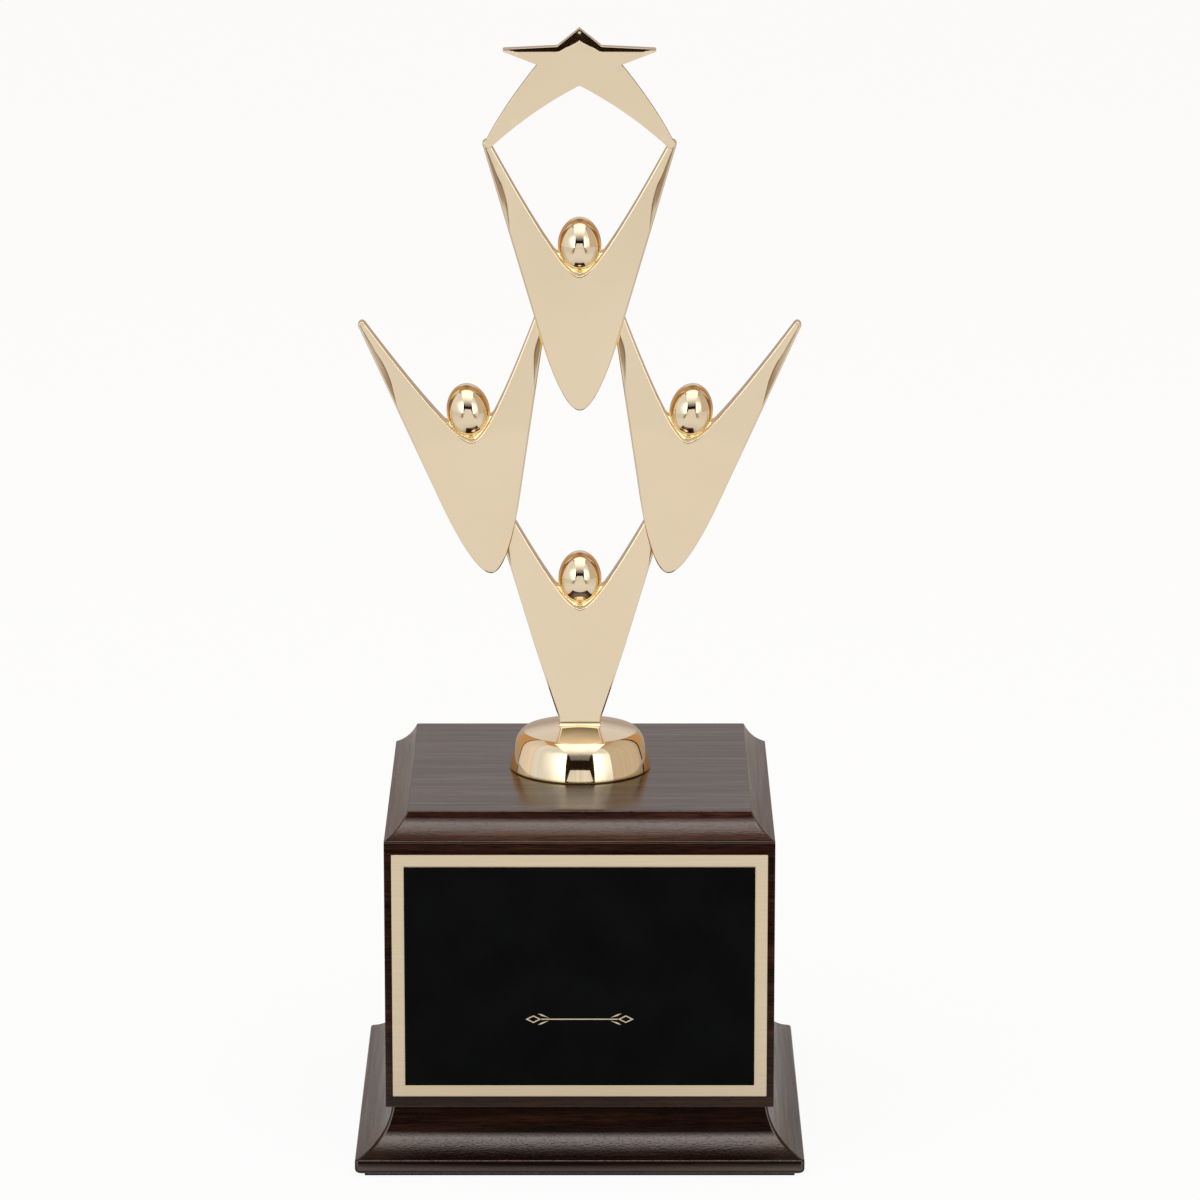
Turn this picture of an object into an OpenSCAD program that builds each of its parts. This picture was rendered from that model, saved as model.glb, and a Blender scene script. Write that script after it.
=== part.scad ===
// Star trophy: four figures with raised arms carry a star, on a round foot and a coved wood base.
// The front faces -Y, up is +Z, and the origin is the centre of the felt's underside. Millimetres.

/* [Base] */
// How far the plinth stands out past the box on each side
plinth_overhang = 9.5; // [6:0.5:14]
// Thickness of the plinth board
plinth_t = 19; // [16:0.5:24]
// Height of the straight lip round the plinth
lip_h = 4.5; // [2:0.5:7]
// Step in from the box to the top of the plinth's cove
plinth_setback = 1.8; // [0.5:0.1:3]
// Width of the square box
box_w = 121; // [108:1:132]
// Height of the box walls
box_h = 85.2; // [70:0.1:110]
// Thickness of the box walls
wall_t = 12; // [9:0.5:14]
// Height of the top board above the walls
cap_h = 8.6; // [6:0.1:10]
// Width of the cove round the top board
cap_cove = 7.2; // [5:0.1:10]
// Thickness of the felt
felt_t = 1.2; // [0.8:0.1:2]

/* [Plates] */
// Gap between the gold plate and the sides of the box
plate_side_gap = 2.3; // [1:0.1:8]
// Gap between the gold plate and the foot of the wall
plate_foot_gap = 3.9; // [1:0.1:8]
// Gap between the gold plate and the top of the wall
plate_top_gap = 3.1; // [1:0.1:8]
// Width of the gold border round the black plate
plate_border = 3.9; // [2:0.1:8]
// Thickness of the gold plate
gold_plate_t = 1; // [0.6:0.1:2]
// Thickness of the black plate
black_plate_t = 0.6; // [0.5:0.1:1.5]

/* [Sculpture] */
// Height of one figure from its tip to its hands
figure_h = 85.6; // [74:0.1:100]
// Thickness of a figure's body
figure_t = 7; // [5.5:0.1:8.5]
// Thickness of a figure's hands and lower tip
hand_t = 4.4; // [3.5:0.1:5.5]
// Outward lean of the two side figures, in degrees
lean = 8; // [7.4:0.1:8.8]
// Width of a head
head_w = 13.6; // [11:0.1:16]
// Height of a head
head_h = 16.9; // [14:0.1:20]
// Diameter of the foot disc
disc_d = 45; // [38:0.5:54]
// Height of the foot disc at the seat of the bottom figure
disc_h = 14.2; // [12:0.1:18]
// Radius of the shoulder between the side and the domed top of the foot disc
disc_shoulder_r = 7.7; // [6:0.1:10]

/* [Hardware] */
// Diameter of the tie rod
rod_d = 6; // [5:1:8]
// Diameter of the plinth screws
screw_d = 4; // [3:0.5:5]
// Length of the plinth screws
screw_l = 42; // [34:1:50]
// Clearance between pieces that fit together
fit = 0.1; // [0.05:0.01:0.2]

/* [Hidden] */
$fn = 96;
past = 1; // how far a cut or a joined piece runs past the face it crosses

// Heights of the faces where the pieces meet
z_plinth = felt_t;
z_box = z_plinth + plinth_t;
z_cap = z_box + box_h;
z_top = z_cap + cap_h;
z_figures = z_top + disc_h;

// Wood base
plinth_w = box_w + 2 * plinth_overhang;
cove_steps = 12;
plinth_turn = 68;
cap_turn = 40;
cap_lip = 0.7;
tongue_h = 4;
felt_inset = 3;
block_w = 18;
block_at = box_w / 2 - wall_t - block_w / 2;
block_h = box_h - tongue_h - fit;
plate_w = box_w - 2 * plate_side_gap;
plate_h = box_h - plate_foot_gap - plate_top_gap;
plate_z = z_box + plate_foot_gap + plate_h / 2;
tape_t = 0.6;
tape_inset = 3;

// Tie rod, washer, nut and screws
washer_d = 3 * rod_d;
washer_t = 0.27 * rod_d;
nut_d = 1.92 * rod_d;
nut_h = 0.83 * rod_d;
rod_end = 2;
bore_gap = 2;
bore_d = washer_d + 2 * bore_gap;
bore_h = washer_t + nut_h + rod_end + bore_gap / 2;
wood_gap = 0.5;
rod_chamfer = 0.6;
rod_depth = disc_h / 2;
screw_head_d = 2 * screw_d;
screw_head_h = 0.55 * screw_d;
screw_tip_h = 2 * screw_d;
screw_sink = 0.6;
recess_l = 0.5 * screw_head_d;
recess_w = 0.2 * screw_d;

// One figure in hundredths of its height, from its lower tip
unit = figure_h / 100;
curve_steps = 10;
tip = [0, 0];
tip_pull = [6.6, 0] * unit;
shoulder = [16.3, 34.4] * unit;
waist_z = 21 * unit;
hand = [33.8, 98.6] * unit;
hand_r = 1.4 * unit;
notch_half = 6.4 * unit;
notch_z = 50.6 * unit;

// The bottom figure, which has a foot instead of a tip and lower arms
standing_half = 7 * unit;
standing_shoulder = [16.3, 29] * unit;
standing_drop = 6 * unit;
standing_notch_z = notch_z - standing_drop;

// Where the figures stand, in hundredths of a figure's height above the foot disc
bottom_at = [0, 0];
side_at = [32.3, 57.5] * unit;
top_at = [0, 118.6] * unit;
star_at = top_at + [0, hand.y];

// Star, in hundredths of a figure's height from the height of the hands
star_notch = [0, 21.4] * unit;
star_inner_pull = [17.5, 12.3] * unit;
star_foot = [33.1, -0.3] * unit;
star_foot_r = 1.3 * unit;
star_outer_pull = [28.3, 12.5] * unit;
star_waist = [15.2, 28.9] * unit;
star_arm = [27.2, 34.1] * unit;
star_arm_r = 0.55 * unit;
star_arm_turn = [-64, 90];
star_neck = [8, 35.6] * unit;
star_apex = [0, 42.1] * unit;

// Foot disc: slopes of its side in degrees from upright, at its lower edge and after each arc
disc_turns = [7, 20, 51, 75];
disc_corner_r = 1;
dome_rise = 2.4;
seat_depth = 0.35;

// Heads, the webs that carry them, and the joint at the foot
egg_steps = 24;
egg_taper = 0.05;
head_gap = 1;
spigot_r = 2;
spigot_l = 6;
web_t = 0.4 * figure_t;
web_low = [5.5, -3] * unit;
web_high = [10.4, 9.2] * unit;
flare_w = 0.7;
flare_h = 2.6;
flare_turn = 60;
tenon = [8, 3.4, disc_h * 0.36];

// Ornament on the black plate
ornament_half = 0.145 * plate_w;
ornament_z = plate_z - 0.175 * plate_h;
diamond = [0.3, 0.15] * ornament_half;
stroke = 0.4;
groove = 0.25;
// Corners of a feather from the root of the diamond, in lengths and widths of the diamond
feather = [[-0.5, 0.16], [0, 0.4], [0.25, 0.75], [0, 0.65]];

wood_colour = [0.26, 0.14, 0.11];
gold_colour = [0.86, 0.74, 0.54];
steel_colour = [0.62, 0.63, 0.65];
black_colour = [0.06, 0.06, 0.07];
felt_colour = [0.05, 0.05, 0.05];
tape_colour = [0.85, 0.85, 0.8];
pine_colour = [0.78, 0.62, 0.42];

// Points of a bent line from a to c that is pulled towards b, without a itself
function bow(a, b, c) = [
  for (i = [1:curve_steps]) let (t = i / curve_steps)
    (1 - t) * (1 - t) * a + 2 * t * (1 - t) * b + t * t * c
];

// Points of an arc between two angles in degrees
function arc(centre, r, from, to) = [
  for (i = [0:curve_steps]) let (a = from + (to - from) * i / curve_steps)
    centre + r * [cos(a), sin(a)]
];

// Direction of the line from a point that touches a circle on its right (-1) or left (1)
function touch(point, centre, r, side) =
  let (d = centre - point) atan2(d.y, d.x) + side * asin(r / norm(d));

// A list without its first point
function after_first(points) = [for (i = [1:len(points) - 1]) points[i]];

// A closed outline from its right half, which runs upwards
function both_sides(half) = concat(
  half,
  [for (i = [len(half) - 1:-1:0]) if (half[i].x > 0) [-half[i].x, half[i].y]]
);

// An outline moved outwards by a distance
function side_normal(a, b) = [b.y - a.y, a.x - b.x] / norm(b - a);
function grow(outline, distance) = let (n = len(outline)) [
  for (i = [0:n - 1])
    let (before = side_normal(outline[(i + n - 1) % n], outline[i]))
    let (after = side_normal(outline[i], outline[(i + 1) % n]))
    outline[i] + distance * (before + after) / (1 + before * after)
];

// Hollow arc of a moulding that turns by an angle, from its outer edge up to its inner edge
function cove(outer, top, run, rise, turn) =
  let (low = atan2(rise, run) - turn / 2)
  let (r = norm([run, rise]) / (2 * sin(turn / 2)))
  [
    for (i = [0:cove_steps]) let (a = low + turn * i / cove_steps)
      [outer + r * (sin(low) - sin(a)), top - rise + r * (cos(low) - cos(a))]
  ];

// Right arm from the outside of its hand, round the hand and down to the notch between the arms
function arm(start, drop) =
  let (palm = hand - [0, drop])
  let (notch = [0, notch_z - drop])
  let (pull = notch + [notch_half, 0])
  let (outside = touch(start, palm, hand_r, -1) - 90)
  let (inside = touch(pull, palm, hand_r, 1) + 90)
  let (round_hand = arc(palm, hand_r, outside, inside))
  concat(round_hand, bow(round_hand[curve_steps], pull, notch));

figure_outline = both_sides(concat([tip], bow(tip, tip_pull, shoulder), arm(shoulder, 0)));
standing_outline = both_sides(concat(
  [[standing_half, 0], standing_shoulder],
  arm(standing_shoulder, standing_drop)
));

// Thickness of a figure from its lower end to its hands
function thickness_outline(low_t) = both_sides([
  [low_t / 2, -past],
  [figure_t / 2, waist_z],
  [figure_t / 2, notch_z],
  [hand_t / 2, figure_h + past]
]);

star_inner = touch(star_inner_pull, star_foot, star_foot_r, -1) - 90;
star_outer = touch(star_outer_pull, star_foot, star_foot_r, 1) + 90;
star_foot_curve = arc(star_foot, star_foot_r, star_inner, star_outer);
star_outline = both_sides(concat(
  [star_notch],
  bow(star_notch, star_inner_pull, star_foot_curve[0]),
  after_first(star_foot_curve),
  bow(star_foot_curve[curve_steps], star_outer_pull, star_waist),
  arc(star_arm, star_arm_r, star_arm_turn[0], star_arm_turn[1]),
  [star_neck, star_apex]
));

// Places a piece of the sculpture at a point above the foot disc, leaning by an angle
module placed(at, angle = 0) {
  translate([at.x, 0, z_figures + at.y]) rotate([0, angle, 0]) children();
}
module at_left() { placed([-side_at.x, side_at.y], -lean) children(); }
module at_right() { placed(side_at, lean) children(); }

// A flat piece that stands in the plane of the sculpture
module standing_plate(outline, thickness) {
  rotate([90, 0, 0]) linear_extrude(thickness, center = true) polygon(outline);
}

// The front (-1) or back (1) half of a lap joint that another outline takes up
module lap(outline, side) {
  translate([0, side * (figure_t - fit / 2) / 2, 0])
    standing_plate(grow(outline, fit), figure_t + fit / 2);
}

// Body of a figure, with a thin web in the notch and a seat for the head
module figure_body(outline, notch_height, low_t) {
  difference() {
    union() {
      intersection() {
        standing_plate(outline, figure_t);
        rotate([90, 0, 90]) linear_extrude(2 * figure_h, center = true)
          polygon(thickness_outline(low_t));
      }
      translate([0, 0, notch_height]) standing_plate(both_sides([web_low, web_high]), web_t);
    }
    head_form(notch_height, fit);
  }
}

// Egg-shaped head with its spigot, larger by a clearance where it is cut out of a body
function egg_point(a, extra) = [
  (head_w / 2 + extra) * cos(a) * (1 - egg_taper * sin(a)),
  (head_h / 2 + extra) * sin(a)
];
module head_form(notch_height, extra = 0) {
  r = spigot_r + extra;
  middle = head_gap + head_h / 2;
  low = -middle - spigot_l - extra;
  from = -acos(r / (head_w / 2 + extra));
  translate([0, 0, notch_height + middle]) rotate_extrude() polygon(concat(
    [[0, low], [r, low]],
    [for (i = [0:egg_steps]) egg_point(from + (90 - from) * i / egg_steps, extra)]
  ));
}

module star() {
  color(gold_colour) difference() {
    placed(star_at) standing_plate(star_outline, hand_t);
    placed(top_at) lap(figure_outline, 1);
  }
}

module top_figure() {
  color(gold_colour) difference() {
    placed(top_at) figure_body(figure_outline, notch_z, hand_t);
    placed(star_at) lap(star_outline, -1);
    at_left() lap(figure_outline, 1);
    at_right() lap(figure_outline, 1);
  }
}

module side_figure() {
  difference() {
    at_left() figure_body(figure_outline, notch_z, hand_t);
    placed(top_at) lap(figure_outline, -1);
    placed(bottom_at) lap(standing_outline, 1);
  }
}
module left_figure() { color(gold_colour) side_figure(); }
module right_figure() { color(gold_colour) mirror([1, 0, 0]) side_figure(); }

// Foot end of the bottom figure: a flare that sits on the disc and a tenon that goes into it
module foot_tenon(extra = 0) {
  translate([0, 0, past / 2 - tenon.z / 2 - extra / 2])
    cube([tenon.x + 2 * extra, tenon.y + 2 * extra, tenon.z + past + extra], center = true);
}
function flare(half) = cove(half + flare_w, flare_h, flare_w, flare_h, flare_turn);
module foot_flare() { moulded(flare(standing_half), flare(figure_t / 2)); }

module bottom_figure() {
  color(gold_colour) difference() {
    placed(bottom_at) union() {
      figure_body(standing_outline, standing_notch_z, figure_t);
      foot_flare();
      foot_tenon();
    }
    at_left() lap(figure_outline, -1);
    at_right() lap(figure_outline, -1);
  }
}

module top_head() { color(gold_colour) placed(top_at) head_form(notch_z); }
module left_head() { color(gold_colour) at_left() head_form(notch_z); }
module right_head() { color(gold_colour) at_right() head_form(notch_z); }
module bottom_head() { color(gold_colour) placed(bottom_at) head_form(standing_notch_z); }

// A line of points that goes on in an arc
function and_arc(points, r, from, to) =
  let (end = points[len(points) - 1])
  concat(points, after_first(arc(end - r * [cos(from), sin(from)], r, from, to)));

// Half outline of the foot disc: a gently swelling side, a rounder shoulder, a tight corner and a dome
function disc_outline() =
  let (rise = [for (i = [0:2]) sin(disc_turns[i + 1]) - sin(disc_turns[i])])
  let (swell_h = disc_h + seat_depth - dome_rise - disc_shoulder_r * rise[1] - disc_corner_r * rise[2])
  let (to_shoulder = and_arc([[disc_d / 2, 0]], swell_h / rise[0], disc_turns[0], disc_turns[1]))
  let (to_corner = and_arc(to_shoulder, disc_shoulder_r, disc_turns[1], disc_turns[2]))
  let (to_dome = and_arc(to_corner, disc_corner_r, disc_turns[2], disc_turns[3]))
  let (dome_half = to_dome[len(to_dome) - 1].x)
  let (dome_r = (dome_half * dome_half + dome_rise * dome_rise) / (2 * dome_rise))
  and_arc(to_dome, dome_r, acos(dome_half / dome_r), 90);

module foot_disc() {
  seat = 2 * [standing_half + flare_w + fit, figure_t / 2 + flare_w + fit];
  color(gold_colour) difference() {
    translate([0, 0, z_top]) rotate_extrude() polygon(concat([[0, 0]], disc_outline()));
    translate([0, 0, z_top - past]) cylinder(d = rod_d + 2 * fit, h = rod_depth + past);
    placed(bottom_at) {
      foot_tenon(fit);
      linear_extrude(past) square(seat, center = true);
    }
  }
}

// A block with one moulding on its left and right and another on its front and back
module moulded(side_profile, front_profile) {
  intersection() {
    rotate([90, 0, 0]) linear_extrude(2 * plinth_w, center = true) polygon(both_sides(side_profile));
    rotate([90, 0, 90]) linear_extrude(2 * plinth_w, center = true) polygon(both_sides(front_profile));
  }
}

module rod_hole() {
  translate([0, 0, -past]) cylinder(d = rod_d + 2 * wood_gap, h = z_figures);
}

module top_board() {
  half = box_w / 2;
  tongue_w = box_w - 2 * wall_t - 2 * fit;
  profile = concat([[half, 0]], cove(half, cap_h, cap_cove, cap_h - cap_lip, cap_turn));
  color(wood_colour) difference() {
    union() {
      translate([0, 0, z_cap]) moulded(profile, profile);
      translate([0, 0, z_cap - tongue_h]) linear_extrude(tongue_h + past) square(tongue_w, center = true);
    }
    rod_hole();
  }
}

module wall(turn) {
  outer = box_w / 2;
  inner = outer - wall_t;
  translate([0, 0, z_box]) rotate(turn) linear_extrude(box_h)
    polygon([[-outer, -outer], [outer, -outer], [inner, -inner], [-inner, -inner]]);
}
module front_wall() { color(wood_colour) wall(0); }
module right_wall() { color(wood_colour) wall(90); }
module back_wall() { color(wood_colour) wall(180); }
module left_wall() { color(wood_colour) wall(270); }

// Countersunk screw, larger by a clearance where it is cut out of the wood
module screw_form(extra = 0) {
  head_r = screw_head_d / 2 + extra;
  shank_r = screw_d / 2 + extra;
  end = screw_l + extra;
  rotate_extrude() polygon([
    [0, 0], [head_r, 0], [shank_r, screw_head_h], [shank_r, end - screw_tip_h], [0, end]
  ]);
}
module at_screw(side_x, side_y) {
  translate([side_x * block_at, side_y * block_at, z_plinth + screw_sink]) children();
}

module corner_block(side_x, side_y) {
  color(pine_colour) difference() {
    translate([side_x * block_at, side_y * block_at, z_box + block_h / 2])
      cube([block_w, block_w, block_h], center = true);
    at_screw(side_x, side_y) screw_form(fit);
  }
}
module front_left_block() { corner_block(-1, -1); }
module front_right_block() { corner_block(1, -1); }
module back_left_block() { corner_block(-1, 1); }
module back_right_block() { corner_block(1, 1); }

module plinth_screws() {
  color(steel_colour) for (side_x = [-1, 1], side_y = [-1, 1]) at_screw(side_x, side_y)
    difference() {
      screw_form();
      for (turn = [0, 90]) rotate(turn)
        cube([recess_l, recess_w, screw_head_h], center = true);
    }
}

module plinth_board() {
  half = plinth_w / 2;
  cove_w = plinth_overhang + plinth_setback;
  profile = concat([[half, 0]], cove(half, plinth_t, cove_w, plinth_t - lip_h, plinth_turn));
  color(wood_colour) difference() {
    translate([0, 0, z_plinth]) moulded(profile, profile);
    rod_hole();
    translate([0, 0, z_plinth - past]) cylinder(d = bore_d, h = bore_h + past);
    for (side_x = [-1, 1], side_y = [-1, 1]) at_screw(side_x, side_y) {
      screw_form(fit);
      translate([0, 0, -screw_sink - past])
        cylinder(d = screw_head_d + 2 * fit, h = screw_sink + past);
    }
  }
}

module tie_rod() {
  r = rod_d / 2;
  low = z_plinth + bore_h - washer_t - nut_h - rod_end;
  long = z_top + rod_depth - fit - low;
  color(steel_colour) translate([0, 0, low]) rotate_extrude() polygon([
    [0, 0], [r - rod_chamfer, 0], [r, rod_chamfer],
    [r, long - rod_chamfer], [r - rod_chamfer, long], [0, long]
  ]);
}

module rod_washer() {
  color(steel_colour) translate([0, 0, z_plinth + bore_h - washer_t]) difference() {
    cylinder(d = washer_d, h = washer_t);
    translate([0, 0, -past]) cylinder(d = rod_d + wood_gap, h = washer_t + 2 * past);
  }
}

module rod_nut() {
  color(steel_colour) translate([0, 0, z_plinth + bore_h - washer_t - nut_h]) difference() {
    linear_extrude(nut_h) polygon([for (i = [0:5]) nut_d / 2 * [cos(60 * i), sin(60 * i)]]);
    translate([0, 0, -past]) cylinder(d = rod_d + 2 * fit, h = nut_h + 2 * past);
  }
}

module felt_pad() {
  felt_w = plinth_w - 2 * felt_inset;
  color(felt_colour) translate([0, 0, felt_t / 2]) cube([felt_w, felt_w, felt_t], center = true);
}

// A flat plate on the front wall, in front of what lies behind it
module front_plate(inset, behind, thickness) {
  translate([0, -box_w / 2 - behind - thickness / 2, plate_z])
    cube([plate_w - 2 * inset, thickness, plate_h - 2 * inset], center = true);
}
module plate_tape() { color(tape_colour) front_plate(tape_inset, 0, tape_t); }
module gold_plate() { color(gold_colour) front_plate(0, tape_t, gold_plate_t); }

// Engraved strokes of a divider: a line, and at each end an open diamond and two feathers
module ornament_stroke(points) {
  rotate([90, 0, 0]) linear_extrude(2 * groove, center = true) polygon(points);
}
module ornament_end() {
  ring = [[diamond.x, 0], [0, diamond.y], [-diamond.x, 0], [0, -diamond.y]] / 2;
  root = ornament_half - diamond.x;
  translate([ornament_half - diamond.x / 2, 0, 0]) difference() {
    ornament_stroke(ring);
    ornament_stroke(grow(ring, -stroke));
  }
  for (up = [-1, 1])
    ornament_stroke([for (p = feather) [root + p.x * diamond.x, up * p.y * diamond.y]]);
}
module ornament() {
  line = [ornament_half - diamond.x + stroke, stroke / 2];
  ornament_stroke([-line, [line.x, -line.y], line, [-line.x, line.y]]);
  ornament_end();
  mirror([1, 0, 0]) ornament_end();
}

module black_plate() {
  behind = tape_t + gold_plate_t;
  color(black_colour) difference() {
    front_plate(plate_border, behind, black_plate_t);
    translate([0, -box_w / 2 - behind - black_plate_t, ornament_z]) ornament();
  }
}

felt_pad();
plinth_board();
front_wall();
back_wall();
left_wall();
right_wall();
front_left_block();
front_right_block();
back_left_block();
back_right_block();
top_board();
plinth_screws();
tie_rod();
rod_washer();
rod_nut();
plate_tape();
gold_plate();
black_plate();
foot_disc();
bottom_figure();
left_figure();
right_figure();
top_figure();
bottom_head();
left_head();
right_head();
top_head();
star();
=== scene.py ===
"""Looks of the star trophy: polished gold figures and star, walnut base, front plate, studio and camera."""

import math

import bpy
import numpy as np
from mathutils import Matrix, Vector
from mathutils.geometry import delaunay_2d_cdt


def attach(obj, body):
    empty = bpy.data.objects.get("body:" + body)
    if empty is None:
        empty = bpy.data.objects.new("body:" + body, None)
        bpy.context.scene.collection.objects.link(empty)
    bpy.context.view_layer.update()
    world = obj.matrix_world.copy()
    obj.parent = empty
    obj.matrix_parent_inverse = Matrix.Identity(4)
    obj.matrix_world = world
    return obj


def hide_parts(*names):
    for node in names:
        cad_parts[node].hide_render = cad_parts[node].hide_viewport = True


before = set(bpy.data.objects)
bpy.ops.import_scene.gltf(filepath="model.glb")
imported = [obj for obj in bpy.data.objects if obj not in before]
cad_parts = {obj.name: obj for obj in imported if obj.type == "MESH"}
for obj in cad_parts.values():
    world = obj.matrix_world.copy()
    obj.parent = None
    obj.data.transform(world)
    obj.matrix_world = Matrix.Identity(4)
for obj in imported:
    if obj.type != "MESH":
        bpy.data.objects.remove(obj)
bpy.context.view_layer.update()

MM = 0.001

# Sizes of the base, in millimetres, with the turns of its coves in degrees
FELT_T = 1.2
PLINTH_W = 140
PLINTH_T = 19
PLINTH_LIP = 4.5
PLINTH_COVE = 11.3
PLINTH_TURN = 68
PLINTH_FOOT_R = 1.6
BOX_W = 121
BOX_H = 85.2
CAP_H = 8.6
CAP_LIP = 0.7
CAP_COVE = 7.2
CAP_TURN = 40
Z_BOX = FELT_T + PLINTH_T
Z_CAP = Z_BOX + BOX_H
Z_TOP = Z_CAP + CAP_H

# Foot disc, in millimetres, with the turns of its profile in degrees
DISC_R = 22.5
DISC_H = 14.2
DISC_EDGE = 0.4
DISC_TURNS = (7, 20, 51, 75)
DISC_SHOULDER_R = 7.7
DISC_CORNER_R = 0.8
DOME_RISE = 2.4
SEAT_DEPTH = 0.35
DISC_STEPS = 192
Z_FIGURES = Z_TOP + DISC_H

# One figure, in millimetres from its lower tip; the second value of a point is its height
UNIT = 0.856
TIP = np.array([0.0, 0.0])
TIP_PULL = np.array([6.6, 0]) * UNIT
SHOULDER = np.array([16.3, 34.4]) * UNIT
WAIST_Z = 21 * UNIT
HAND = np.array([33.8, 98.6]) * UNIT
HAND_R = 1.4 * UNIT
NOTCH_HALF = 6.4 * UNIT
NOTCH_Z = 50.6 * UNIT
STANDING_HALF = 7 * UNIT
STANDING_SHOULDER = np.array([16.3, 29]) * UNIT
STANDING_DROP = 6 * UNIT
FIGURE_H = 100 * UNIT
FIGURE_T = 7
HAND_T = 4.4

# Gap in the lap joints, which solder fills
FIT = 0.02

# Web in the notch of a figure, which reaches under the head
WEB_H = 9.2 * UNIT
WEB_RIM_T = 5.6
WEB_T = 2
WEB_SLOPE_W = 3
WEB_UNDER_HEAD = 0.5
WEB_FALL = 0.4
WEB_DIP = 0.6
WEB_BORDER = 0.2

# Flared foot of the bottom figure, in millimetres, with its turn in degrees
FLARE_W = 0.7
FLARE_H = 2.6
FLARE_TURN = 60
FLARE_SPACING = 4

# Places of the figures above the foot disc, in millimetres, and the lean of the side figures in degrees
LEAN = 8
SIDE_AT = np.array([32.3, 57.5]) * UNIT
TOP_AT = np.array([0, 118.6]) * UNIT
STAR_AT = TOP_AT + np.array([0, HAND[1]])

# Star, in millimetres from the height of the hands, with the turn round its arm tips in degrees
STAR_NOTCH = np.array([0, 21.4]) * UNIT
STAR_INNER_PULL = np.array([17.5, 12.3]) * UNIT
STAR_FOOT = np.array([33.1, -0.3]) * UNIT
STAR_FOOT_R = 1.3 * UNIT
STAR_OUTER_PULL = np.array([28.3, 12.5]) * UNIT
STAR_WAIST = np.array([15.2, 28.9]) * UNIT
STAR_ARM = np.array([27.2, 34.1]) * UNIT
STAR_ARM_R = 0.55 * UNIT
STAR_ARM_TURN = (-64, 90)
STAR_NECK = np.array([8, 35.6]) * UNIT
STAR_APEX = np.array([0, 42.1]) * UNIT

# Heads, in millimetres, with the taper as a share of the radius
HEAD_W = 13.6
HEAD_H = 16.9
HEAD_GAP = 1
EGG_TAPER = 0.05
EGG_ROWS = 49
EGG_STEPS = 96

# Rounded edges and bevels of the sculpture, in millimetres, with the bevels' slopes in degrees
FIGURE_EDGE = 0.6
FIGURE_SLOPE = 16
NOTCH_FACET_REACH = 17
ARM_FACET_W = 1.2
ARM_FACET_GROWTH = 0.11
ARM_FACET_FADE = (12, 34)
ARM_FACET_START = (-0.2, 0.4)
STAR_EDGE = 0.15
STAR_SLOPE = 11
STAR_FACET_W = 1.2
STAR_FACET_GROWTH = 1.0
STAR_APEX_FACET_W = 1.1
STAR_APEX_REACH = 4
STAR_FACET_BELOW_ARM = (2.0, 0.8)

# Rounded edges and upright corners of the wood and the plate, in millimetres
PLINTH_EDGE_R = 0.6
PLINTH_CORNER_R = 1.2
CAP_EDGE_R = 0.33
CAP_CORNER_R = 0.4
WALL_EDGE = 0.12
PLATE_EDGE = 0.25

# Flat ring beside a rounded edge, which keeps the shading of a face even, in millimetres
FLAT_RIM = 3


# Outlines


def bow(a, b, c, steps=40):
    """Points of a bent line from a to c that is pulled towards b, without a itself."""
    t = (np.arange(1, steps + 1) / steps)[:, None]
    return (1 - t) ** 2 * a + 2 * t * (1 - t) * b + t**2 * c


def arc(centre, radius, start, end, steps=16):
    """Points of an arc between two angles in degrees."""
    a = np.radians(np.linspace(start, end, steps + 1))
    return centre + radius * np.stack([np.cos(a), np.sin(a)], axis=1)


def touch(point, centre, radius, side):
    """Direction of the line from a point that touches a circle on its right (-1) or left (1)."""
    d = centre - point
    return math.degrees(math.atan2(d[1], d[0]) + side * math.asin(radius / math.hypot(*d)))


def both_sides(half):
    """A closed outline from its right half, which runs upwards."""
    half = np.concatenate([np.atleast_2d(part) for part in half])
    other = half[::-1][half[::-1][:, 0] > 1e-9] * [-1, 1]
    return np.concatenate([half, other])


def arm(start, drop):
    """Right arm from the outside of its hand, round the hand and down to the notch, all lowered by drop."""
    palm = HAND - [0, drop]
    notch = np.array([0, NOTCH_Z - drop])
    pull = notch + [NOTCH_HALF, 0]
    outer_turn = touch(start, palm, HAND_R, -1) - 90
    inner_turn = touch(pull, palm, HAND_R, 1) + 90
    hand = arc(palm, HAND_R, outer_turn, inner_turn)
    return np.concatenate([hand, bow(hand[-1], pull, notch)])


def figure_outline():
    return both_sides([TIP, bow(TIP, TIP_PULL, SHOULDER), arm(SHOULDER, 0)])


def standing_outline():
    return both_sides([[STANDING_HALF, 0], STANDING_SHOULDER, arm(STANDING_SHOULDER, STANDING_DROP)])


def star_outline():
    inner = touch(STAR_INNER_PULL, STAR_FOOT, STAR_FOOT_R, -1) - 90
    outer = touch(STAR_OUTER_PULL, STAR_FOOT, STAR_FOOT_R, 1) + 90
    foot = arc(STAR_FOOT, STAR_FOOT_R, inner, outer)
    return both_sides([
        STAR_NOTCH,
        bow(STAR_NOTCH, STAR_INNER_PULL, foot[0]),
        foot[1:],
        bow(foot[-1], STAR_OUTER_PULL, STAR_WAIST),
        arc(STAR_ARM, STAR_ARM_R, *STAR_ARM_TURN, steps=8),
        STAR_NECK,
        STAR_APEX,
    ])


COVE_STEPS = 24


def cove(outer, top, run, rise, turn):
    """Hollow arc of a moulding that turns by an angle, from its outer edge up to its inner edge."""
    low = math.degrees(math.atan2(rise, run)) - turn / 2
    radius = math.hypot(run, rise) / (2 * math.sin(math.radians(turn / 2)))
    start = radius * np.array([math.sin(math.radians(low)), math.cos(math.radians(low))])
    slope = np.radians(np.linspace(low, low + turn, COVE_STEPS + 1))
    fall = radius * np.stack([np.sin(slope), np.cos(slope)], axis=1)
    return np.array([outer, top - rise]) + start - fall


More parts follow.
